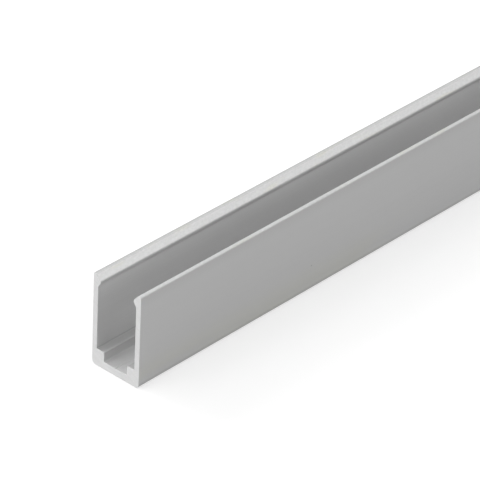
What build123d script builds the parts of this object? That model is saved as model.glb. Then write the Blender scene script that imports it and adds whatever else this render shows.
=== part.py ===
from build123d import *
import os

# One length of extruded aluminium U-channel with snap-in rims, standing on its base.
# Millimetres. +X runs along the length, +Y across the width, +Z up out of the open mouth.
# The origin is the centre of the underside.

# Driving dimensions of the stock
stock_length = 1000.0
section_width = 12.0
section_height = 20.0
wall_thickness = 1.2
floor_thickness = 1.6

# Outer corners of the section
heel_radius = 0.9
rim_radius = 0.25

# Ledges beside the floor, with the screw slot between them
ledge_width = 1.9
ledge_height = 2.1
ledge_nose_radius = 0.3
ledge_root_radius = 0.15
slot_root_radius = 0.2

# Drilling guide, a V-shaped groove along the middle of the floor
guide_width = 0.5
guide_depth = 0.15

# Barbs inside the two rims, which snap over the piece pressed into the channel
lead_setback = 0.4
barb_reach = 0.8
barb_nose_drop = 1.45
barb_root_drop = 2.65
barb_nose_radius = 0.6
barb_root_radius = 0.5
barb_lead_radius = 0.2

# Edge break left by deburring the sawn ends
edge_break = 0.05


def half_outline():
    """Corners of the section's +Y half, from the middle of the underside to the bottom of the guide groove,
    and the radius at each corner between the two."""
    outer = section_width / 2
    inner = outer - wall_thickness
    slot_side = inner - ledge_width
    ledge_top = floor_thickness + ledge_height
    corners = [
        (0, 0),
        (outer, 0),
        (outer, section_height),
        (inner + lead_setback, section_height),
        (inner - barb_reach, section_height - barb_nose_drop),
        (inner, section_height - barb_root_drop),
        (inner, ledge_top),
        (slot_side, ledge_top),
        (slot_side, floor_thickness),
        (guide_width / 2, floor_thickness),
        (0, floor_thickness - guide_depth),
    ]
    radii = [
        heel_radius,
        rim_radius,
        barb_lead_radius,
        barb_nose_radius,
        barb_root_radius,
        ledge_root_radius,
        ledge_nose_radius,
        slot_root_radius,
        0,
    ]
    return corners, radii


def section():
    """The extruded cross-section, in the YZ plane."""
    corners, radii = half_outline()
    with BuildSketch(Plane.YZ) as sketch:
        with BuildLine():
            FilletPolyline(corners, radius=radii)
            mirror(about=Plane.YZ)
        make_face()
    return sketch.sketch


def channel():
    """The section extruded to length, with its two sawn ends deburred."""
    bar = extrude(section(), amount=stock_length / 2, both=True)
    sawn_ends = bar.faces().filter_by(Axis.X)
    return chamfer(sawn_ends.edges(), edge_break)


os.makedirs("parts", exist_ok=True)
export_step(channel(), "parts/u_channel.step")
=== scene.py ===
import math

import bpy
from mathutils import Matrix, Vector

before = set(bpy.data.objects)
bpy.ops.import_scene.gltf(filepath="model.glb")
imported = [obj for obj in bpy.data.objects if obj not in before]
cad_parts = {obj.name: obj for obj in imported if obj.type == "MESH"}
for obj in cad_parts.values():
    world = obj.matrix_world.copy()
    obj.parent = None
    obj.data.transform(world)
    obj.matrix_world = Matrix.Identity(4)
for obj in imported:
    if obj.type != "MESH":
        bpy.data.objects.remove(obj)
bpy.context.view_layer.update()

# Camera, solved from the straight edges of the photograph around the near end's underside
IMAGE_SIDE = 480
FOCAL_PIXELS = 3217.2
SENSOR_MM = 36.0
AZIMUTH, ELEVATION, ROLL = -48.994, 32.408, 2.858
NEAR_END = Vector((-0.5, 0.0, 0.0))
NEAR_END_PIXEL = (114.951, 375.846)
DISTANCE = 0.59281
CLIP_START, CLIP_END = 0.05, 200.0

# Surroundings and floor, as seen directly or in the metal: a strength of 1 is white
WHITE = (1.0, 1.0, 1.0, 1.0)
WORLD_SEEN = 0.91
FLOOR_COLOUR = (0.6, 0.6, 0.6, 1.0)
FLOOR_GLOW, FAR_FLOOR_GLOW = 0.5, 0.9
FAR_FLOOR = (0.65, 2.0)
FLOOR_HALF = 20.0
FLOOR_DROP = 0.00005

# Softboxes: name, azimuth from +X towards +Y, elevation, radiance
LAMPS = (
    ("left_low", 180, 15, 1.89),
    ("left_high", 180, 70, 1.13),
    ("key", 135, 50, 2.05),
    ("back", 90, 32, 2.49),
    ("front_high", 270, 50, 1.81),
    ("front_right", 315, 32, 0.76),
)
LAMP_DISTANCE = 3.0
LAMP_WIDTH, LAMP_HEIGHT = 2.4, 2.0

# The stock in millimetres, which the finish is laid out in
MM_PER_METRE = 1000.0
HALF_LENGTH = 500.0
HALF_WIDTH = 6.0
HEIGHT = 20.0
BARB_TOP = 18.7
LEDGE_TOP = 3.7
FLOOR_TOP = 1.6
EDGE_BREAK = 0.05

# How far out along the stock the sawn end's broken edge begins, and its flat face
BROKEN_FROM = HALF_LENGTH - EDGE_BREAK * 1.1
FLAT_FROM = HALF_LENGTH - EDGE_BREAK * 0.1

# Places on the section and on the stock that marks lie round
HEEL_CORNER = (HALF_WIDTH, 0.0, 0.0)
RIM_CORNER = (HALF_WIDTH, HEIGHT, 0.0)
BLADE_CENTRE = (0.0, 70.0, -130.0)
SPECK_PLACE = (-452.5, -6.0, 5.74)

# Edges of the parts of the finish: heights where each edge begins, and where it is full
UNDERSIDE = (0.1, 0.02)
HEEL_RISE = (0.2, 0.7)
LOW_DOWN = (7.5, 2.0)
SLOT = (FLOOR_TOP + 0.5, FLOOR_TOP + 0.1)
GROOVE = (FLOOR_TOP + 0.02, FLOOR_TOP - 0.03)
LEDGE = (LEDGE_TOP - 0.5, LEDGE_TOP - 0.1), (LEDGE_TOP + 0.5, LEDGE_TOP + 0.1)
LOW_WALL = (13.5, 7.5), (LEDGE_TOP + 0.1, LEDGE_TOP + 0.5)
UNDER_BARB = (BARB_TOP - 4.9, BARB_TOP - 1.5), (BARB_TOP - 0.9, BARB_TOP - 1.3)
BELOW_LEAD_IN = (BARB_TOP + 0.1, BARB_TOP - 0.2)
LEAD_IN = (BARB_TOP - 0.2, BARB_TOP + 0.1), (HEIGHT - 0.02, HEIGHT - 0.15)
BELOW_TOP = (HEIGHT - 0.1, HEIGHT - 0.3)
RIM_TOP = (HEIGHT - 0.15, HEIGHT - 0.02)

# The same as distances: from the stock's middle, along it or across it, and from the places above
INWARD_OF_END = (HALF_LENGTH, HALF_LENGTH - 9.0)
OUTER_FACE = (HALF_WIDTH - 0.2, HALF_WIDTH - 0.02)
GROOVE_SIDE = (0.3, 0.2)
ROUND_HEEL = (1.35, 0.6)
ROUND_RIM = (2.8, 0.6)
ROUND_FAR_RIM = (0.68, 0.44)
ROUND_SPECK = (0.2, 0.08)

# Noise: cycles per millimetre along, across and up, and detail
LINES = (0.004, 7.0, 7.0), 3.0
BANDS = (0.003, 0.9, 0.9), 2.0
GRAIN = (6.0, 6.0, 6.0), 2.0
MOTTLE = (0.02, 0.08, 0.08), 2.0
WEAR = (1.5, 2.5, 2.5), 4.0
SCUFFS = (0.12, 8.0, 8.0), 1.0
SMEARS = (1.0, 2.2, 3.5), 2.0
STAINS = (0.12, 0.6, 0.6), 2.0

# The same for the blade's marks, out from its centre, and the row of the noise that each is read from
ARCS = (4.5, 1.0, 1.0), 3.0
ARC_ROW = (0.37, 0.71)
FEED = (0.8, 1.0, 1.0), 1.0
FEED_ROW = (0.83, 0.29)

# How high the noise is where a mark begins, and where it is full
SCUFF_EDGE = (0.2, 0.28)
SMEAR_EDGE = (0.16, 0.24)
STAIN_EDGE = (0.02, 0.15)
PATCH_EDGE = (-0.06, 0.08)

# Colours, linear, and the shader's other values
SKIN_COLOUR = (0.64, 0.64, 0.64, 1.0)
SAWN_COLOUR = (0.735, 0.735, 0.735, 1.0)
METALLIC = 0.35
ROUGHNESS = 0.45
BUMP_DISTANCE = 0.000002

# What each mark adds to the extruded faces. The rows of tones are multiplied with each other
SKIN_TONE = (
    {"lines": 0.09, "bands": 0.03, "grain": 0.06, "mottle": 0.05, "scuffs": 0.03, "speck": -0.3},
    # Painted shade on the outer faces, painted light on the inner walls under the barbs and low near the
    # ends, and the inner faces below the lead-ins slightly darker
    {"outside": -0.175, "below_lead_in": -0.015, "under_barb_light": 0.1, "low_wall_light": 0.13},
    # Painted shade on the ledges and in the groove, painted light on the slot floor
    {"ledge_shade": -0.14, "slot_light": 0.11, "groove_shade": -0.09},
    # Painted shade on the rim tops and painted light on the lead-ins, with wear on both
    {"rim_top": -0.065, "lead_in": 0.025, "worn": 0.3},
    # Painted shade on the far rim's outer corner, below the rims and on the heels
    {"far_corner_shade": -0.2, "below_rim_shade": -0.05, "heel_shade": -0.2},
)
SKIN_ROUGHNESS = {"lines": 0.2, "mottle": 0.12, "worn": 0.1, "scuffs": 0.08, "speck": 0.15}
SKIN_HEIGHT = {"lines": 2.0, "grain": 0.6, "scuffs": -1.0, "speck": -3.0}
YELLOWING = {"stained": 0.05, "patches": 0.04}

# What each mark adds to the sawn ends. The darker tone of the broken edges is painted shade that dulls their
# glint
SAWN_TONE = {"arcs": 0.14, "feed": 0.1, "grain": 0.12, "smears": 0.1, "broken": -0.12}
SAWN_ROUGHNESS = {"arcs": 0.25, "grain": 0.1, "smears": -0.1, "broken": 0.15}
SAWN_HEIGHT = {"arcs": 3.0, "grain": 1.0, "smears": 1.5}


def place_camera():
    """Camera at the photograph's viewing angle."""
    azimuth, elevation, roll = (math.radians(a) for a in (AZIMUTH, ELEVATION, ROLL))
    back = Vector((
        math.sin(azimuth) * math.cos(elevation),
        -math.cos(azimuth) * math.cos(elevation),
        math.sin(elevation),
    ))
    level_right = (-back).cross(Vector((0, 0, 1))).normalized()
    level_up = level_right.cross(-back)
    right = math.cos(roll) * level_right + math.sin(roll) * level_up
    up = -math.sin(roll) * level_right + math.cos(roll) * level_up
    across = (NEAR_END_PIXEL[0] - IMAGE_SIDE / 2) / FOCAL_PIXELS * DISTANCE
    upward = -(NEAR_END_PIXEL[1] - IMAGE_SIDE / 2) / FOCAL_PIXELS * DISTANCE
    place = NEAR_END + back * DISTANCE - right * across - up * upward
    data = bpy.data.cameras.new("camera")
    data.sensor_fit = "HORIZONTAL"
    data.sensor_width = SENSOR_MM
    data.lens = FOCAL_PIXELS * SENSOR_MM / IMAGE_SIDE
    data.clip_start = CLIP_START
    data.clip_end = CLIP_END
    camera = bpy.data.objects.new("camera", data)
    turn = Matrix((right, up, back)).transposed().to_4x4()
    camera.matrix_world = Matrix.Translation(place) @ turn
    bpy.context.scene.collection.objects.link(camera)
    bpy.context.scene.camera = camera


def softbox(name, azimuth, elevation, radiance):
    """Square-on area light facing the object's middle, from azimuth (from +X towards +Y) and elevation."""
    az, el = math.radians(azimuth), math.radians(elevation)
    way = Vector((math.cos(az) * math.cos(el), math.sin(az) * math.cos(el), math.sin(el)))
    data = bpy.data.lights.new(name, "AREA")
    data.shape = "RECTANGLE"
    data.size = LAMP_WIDTH
    data.size_y = LAMP_HEIGHT
    data.energy = radiance * LAMP_WIDTH * LAMP_HEIGHT * math.pi
    lamp = bpy.data.objects.new(name, data)
    lamp.location = way * LAMP_DISTANCE
    lamp.rotation_euler = way.to_track_quat("Z", "Y").to_euler()
    bpy.context.scene.collection.objects.link(lamp)


class Graph:
    """Shader nodes made and linked by short calls. An input is a value, or another node's output."""

    def __init__(self, tree):
        self.tree = tree
        tree.nodes.clear()

    def node(self, kind, **settings):
        made = self.tree.nodes.new(kind)
        for name, setting in settings.items():
            setattr(made, name, setting)
        return made

    def put(self, socket, value):
        if isinstance(value, bpy.types.NodeSocket):
            self.tree.links.new(value, socket)
        else:
            socket.default_value = value

    def shader(self, kind, **inputs):
        """A shader with the named inputs set, underscores standing for spaces."""
        made = self.node(kind)
        for name, value in inputs.items():
            self.put(made.inputs[name.replace("_", " ")], value)
        return made.outputs[0]

    def finish(self, kind, surface):
        """The output node, of the kind for a material or the world."""
        self.put(self.node(kind).inputs["Surface"], surface)

    def object_place(self):
        """The place in the object's own frame, in metres."""
        return self.node("ShaderNodeTexCoord").outputs["Object"]

    def math(self, operation, *values):
        made = self.node("ShaderNodeMath", operation=operation)
        for socket, value in zip(made.inputs, values):
            self.put(socket, value)
        return made.outputs[0]

    def total(self, start, amounts, marks):
        """start plus, for each name in amounts, that amount times the mark of that name."""
        for name, amount in amounts.items():
            start = self.math("MULTIPLY_ADD", marks[name], amount, start)
        return start

    def product(self, first, *others):
        for other in others:
            first = self.math("MULTIPLY", first, other)
        return first

    def vector(self, operation, first, second):
        made = self.node("ShaderNodeVectorMath", operation=operation)
        self.put(made.inputs[0], first)
        self.put(made.inputs[1], second)
        return made.outputs["Value" if operation == "DISTANCE" else "Vector"]

    def join(self, x, y, z):
        made = self.node("ShaderNodeCombineXYZ")
        for socket, value in zip(made.inputs, (x, y, z)):
            self.put(socket, value)
        return made.outputs[0]

    def step(self, value, *edges):
        """Smooth step from 0 at an edge's start to 1 at its end. Two edges multiply their steps."""
        steps = []
        for start, end in edges:
            made = self.node("ShaderNodeMapRange", interpolation_type="SMOOTHSTEP")
            self.put(made.inputs["Value"], value)
            made.inputs["From Min"].default_value = start
            made.inputs["From Max"].default_value = end
            steps.append(made.outputs["Result"])
        return self.product(*steps)

    def noise(self, place, cycles, detail):
        """Noise either side of 0, with so many cycles per millimetre along each axis."""
        made = self.node("ShaderNodeTexNoise")
        self.put(made.inputs["Vector"], self.vector("MULTIPLY", place, cycles))
        made.inputs["Scale"].default_value = 1.0
        made.inputs["Detail"].default_value = detail
        return self.math("SUBTRACT", made.outputs["Fac"], 0.5)

    def blend(self, factor, first, second, kind="FLOAT"):
        """first where factor is 0, second where it is 1. The kind is FLOAT, or RGBA for colours."""
        made = self.node("ShaderNodeMix", data_type=kind)
        for name, value in (("Factor", factor), ("A", first), ("B", second)):
            self.put(made.inputs[name], value)
        return made.outputs["Result"]

    def seen_directly(self):
        """1 for camera, glossy and transmission rays, so that metal shows the pale surroundings too."""
        path = self.node("ShaderNodeLightPath")
        either = self.math("MAXIMUM", path.outputs["Is Camera Ray"], path.outputs["Is Glossy Ray"])
        return self.math("MAXIMUM", either, path.outputs["Is Transmission Ray"])


def build_world():
    world = bpy.data.worlds.new("studio")
    bpy.context.scene.world = world
    world.use_nodes = True
    g = Graph(world.node_tree)
    strength = g.math("MULTIPLY", g.seen_directly(), WORLD_SEEN)
    g.finish("ShaderNodeOutputWorld", g.shader("ShaderNodeBackground", Color=WHITE, Strength=strength))


def build_floor():
    """Matt pale floor that keeps the shadow, and glows where it is seen, more so further out."""
    mesh = bpy.data.meshes.new("floor")
    corners = [(-FLOOR_HALF, -FLOOR_HALF, 0), (FLOOR_HALF, -FLOOR_HALF, 0),
               (FLOOR_HALF, FLOOR_HALF, 0), (-FLOOR_HALF, FLOOR_HALF, 0)]
    mesh.from_pydata(corners, [], [(0, 1, 2, 3)])
    floor = bpy.data.objects.new("floor", mesh)
    floor.location = (0, 0, -FLOOR_DROP)
    bpy.context.scene.collection.objects.link(floor)
    paper = bpy.data.materials.new("paper")
    paper.use_nodes = True
    g = Graph(paper.node_tree)
    way_off = g.step(g.vector("DISTANCE", g.object_place(), (0, 0, 0)), FAR_FLOOR)
    strength = g.math("MULTIPLY_ADD", way_off, FAR_FLOOR_GLOW - FLOOR_GLOW, FLOOR_GLOW)
    both = g.node("ShaderNodeAddShader")
    g.put(both.inputs[0], g.shader("ShaderNodeBsdfDiffuse", Color=FLOOR_COLOUR))
    g.put(both.inputs[1], g.shader("ShaderNodeEmission", Strength=g.product(g.seen_directly(), strength)))
    g.finish("ShaderNodeOutputMaterial", both.outputs[0])
    mesh.materials.append(paper)


def section_masks(g, out_along, across, up):
    """How much a point belongs to each part of the section, from 0 to 1."""
    out_across = g.math("ABSOLUTE", across)
    either_side = g.join(out_across, up, 0.0)
    to_heel = g.vector("DISTANCE", either_side, HEEL_CORNER)
    to_rim = g.vector("DISTANCE", either_side, RIM_CORNER)
    to_far_rim = g.vector("DISTANCE", g.join(across, up, 0.0), RIM_CORNER)
    outside = g.math("MAXIMUM", g.step(out_across, OUTER_FACE), g.step(up, UNDERSIDE))
    inside = g.math("SUBTRACT", 1.0, outside)
    rim_top = g.step(up, RIM_TOP)
    lead_in = g.product(inside, g.step(up, *LEAD_IN))
    return {
        # Outer faces and underside; their darker tone is painted shade, as shaded copies of the inner faces
        "outside": outside,
        # Heels, the bottom outer corners, darkened as painted shade at the foot
        "heel_shade": g.product(g.step(to_heel, ROUND_HEEL), g.step(up, HEEL_RISE)),
        # Outer faces just below the rims, darkened as painted shade
        "below_rim_shade": g.product(outside, g.step(to_rim, ROUND_RIM), g.step(up, BELOW_TOP)),
        # The far rim's outer corner, darkened as a painted dark line of shade along the edge
        "far_corner_shade": g.step(to_far_rim, ROUND_FAR_RIM),
        # Rim tops; their darker tone is painted shade, and they carry the wear marks
        "rim_top": rim_top,
        # Lead-ins; their lighter tone is painted light, and they carry the wear marks
        "lead_in": lead_in,
        "rim": g.math("ADD", rim_top, lead_in),
        "below_lead_in": g.product(inside, g.step(up, BELOW_LEAD_IN)),
        # Inner walls just under the barbs, lightened as painted light
        "under_barb_light": g.product(inside, g.step(up, *UNDER_BARB)),
        # Low inner walls within 9 mm of each end, lightened as painted light coming in at the open ends
        "low_wall_light": g.product(inside, g.step(up, *LOW_WALL), g.step(out_along, INWARD_OF_END)),
        # Ledge tops, darkened as painted shade
        "ledge_shade": g.product(inside, g.step(up, *LEDGE)),
        # Slot floor, lightened as painted light
        "slot_light": g.product(inside, g.step(up, SLOT)),
        # Guide groove, darkened as painted shade against the light its flank catches
        "groove_shade": g.product(inside, g.step(out_across, GROOVE_SIDE), g.step(up, GROOVE)),
    }


def surface_marks(g, place, across, up, masks):
    """Marks of the die, of handling and of the saw, and yellowing of the rims and low on the outer faces."""
    mottle = g.noise(place, *MOTTLE)
    reach = g.vector("DISTANCE", g.join(0.0, across, up), BLADE_CENTRE)
    return {
        "lines": g.noise(place, *LINES),
        "bands": g.noise(place, *BANDS),
        "grain": g.noise(place, *GRAIN),
        "mottle": mottle,
        "worn": g.product(g.noise(place, *WEAR), masks["rim"]),
        "scuffs": g.step(g.noise(place, *SCUFFS), SCUFF_EDGE),
        "speck": g.step(g.vector("DISTANCE", place, SPECK_PLACE), ROUND_SPECK),
        "arcs": g.noise(g.join(reach, *ARC_ROW), *ARCS),
        "feed": g.noise(g.join(reach, *FEED_ROW), *FEED),
        "smears": g.step(g.noise(place, *SMEARS), SMEAR_EDGE),
        "stained": g.product(masks["rim"], g.step(g.noise(place, *STAINS), STAIN_EDGE)),
        "patches": g.product(masks["outside"], g.step(up, LOW_DOWN), g.step(mottle, PATCH_EDGE)),
    }


def build_metal():
    """Anodised aluminium: die lines and satin grain along the stock, worn rims, blade marks on sawn ends,
    and painted light and shade on parts of the section.
    """
    metal = bpy.data.materials.new("anodised_aluminium")
    metal.use_nodes = True
    g = Graph(metal.node_tree)
    place = g.vector("MULTIPLY", g.object_place(), (MM_PER_METRE, MM_PER_METRE, MM_PER_METRE))
    split = g.node("ShaderNodeSeparateXYZ")
    g.put(split.inputs[0], place)
    along, across, up = split.outputs
    out_along = g.math("ABSOLUTE", along)
    sawn = g.math("GREATER_THAN", out_along, BROKEN_FROM)
    marks = section_masks(g, out_along, across, up)
    marks.update(surface_marks(g, place, across, up, marks))
    # The sawn ends' broken edges, whose darker tone is painted shade
    marks["broken"] = g.product(sawn, g.math("LESS_THAN", out_along, FLAT_FROM))

    skin_tone = g.product(*[g.total(1.0, amounts, marks) for amounts in SKIN_TONE])
    skin_rough = g.total(ROUGHNESS, SKIN_ROUGHNESS, marks)
    skin_height = g.total(0.0, SKIN_HEIGHT, marks)
    yellow = g.product(g.math("SUBTRACT", 1.0, sawn), g.total(0.0, YELLOWING, marks))
    sawn_tone = g.total(1.0, SAWN_TONE, marks)
    sawn_rough = g.total(ROUGHNESS, SAWN_ROUGHNESS, marks)
    sawn_height = g.total(0.0, SAWN_HEIGHT, marks)

    tone = g.blend(sawn, skin_tone, sawn_tone)
    tint = g.join(tone, tone, g.product(tone, g.math("SUBTRACT", 1.0, yellow)))
    colour = g.blend(sawn, SKIN_COLOUR, SAWN_COLOUR, kind="RGBA")
    bump = g.node("ShaderNodeBump")
    bump.inputs["Distance"].default_value = BUMP_DISTANCE
    g.put(bump.inputs["Height"], g.blend(sawn, skin_height, sawn_height))
    g.finish("ShaderNodeOutputMaterial", g.shader(
        "ShaderNodeBsdfPrincipled",
        Base_Color=g.vector("MULTIPLY", colour, tint),
        Metallic=METALLIC,
        Roughness=g.blend(sawn, skin_rough, sawn_rough),
        Normal=bump.outputs[0],
    ))
    return metal


bpy.context.scene.view_settings.view_transform = "Standard"
place_camera()
build_world()
build_floor()
for lamp in LAMPS:
    softbox(*lamp)

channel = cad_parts["u_channel"]
channel.data.materials.clear()
channel.data.materials.append(build_metal())
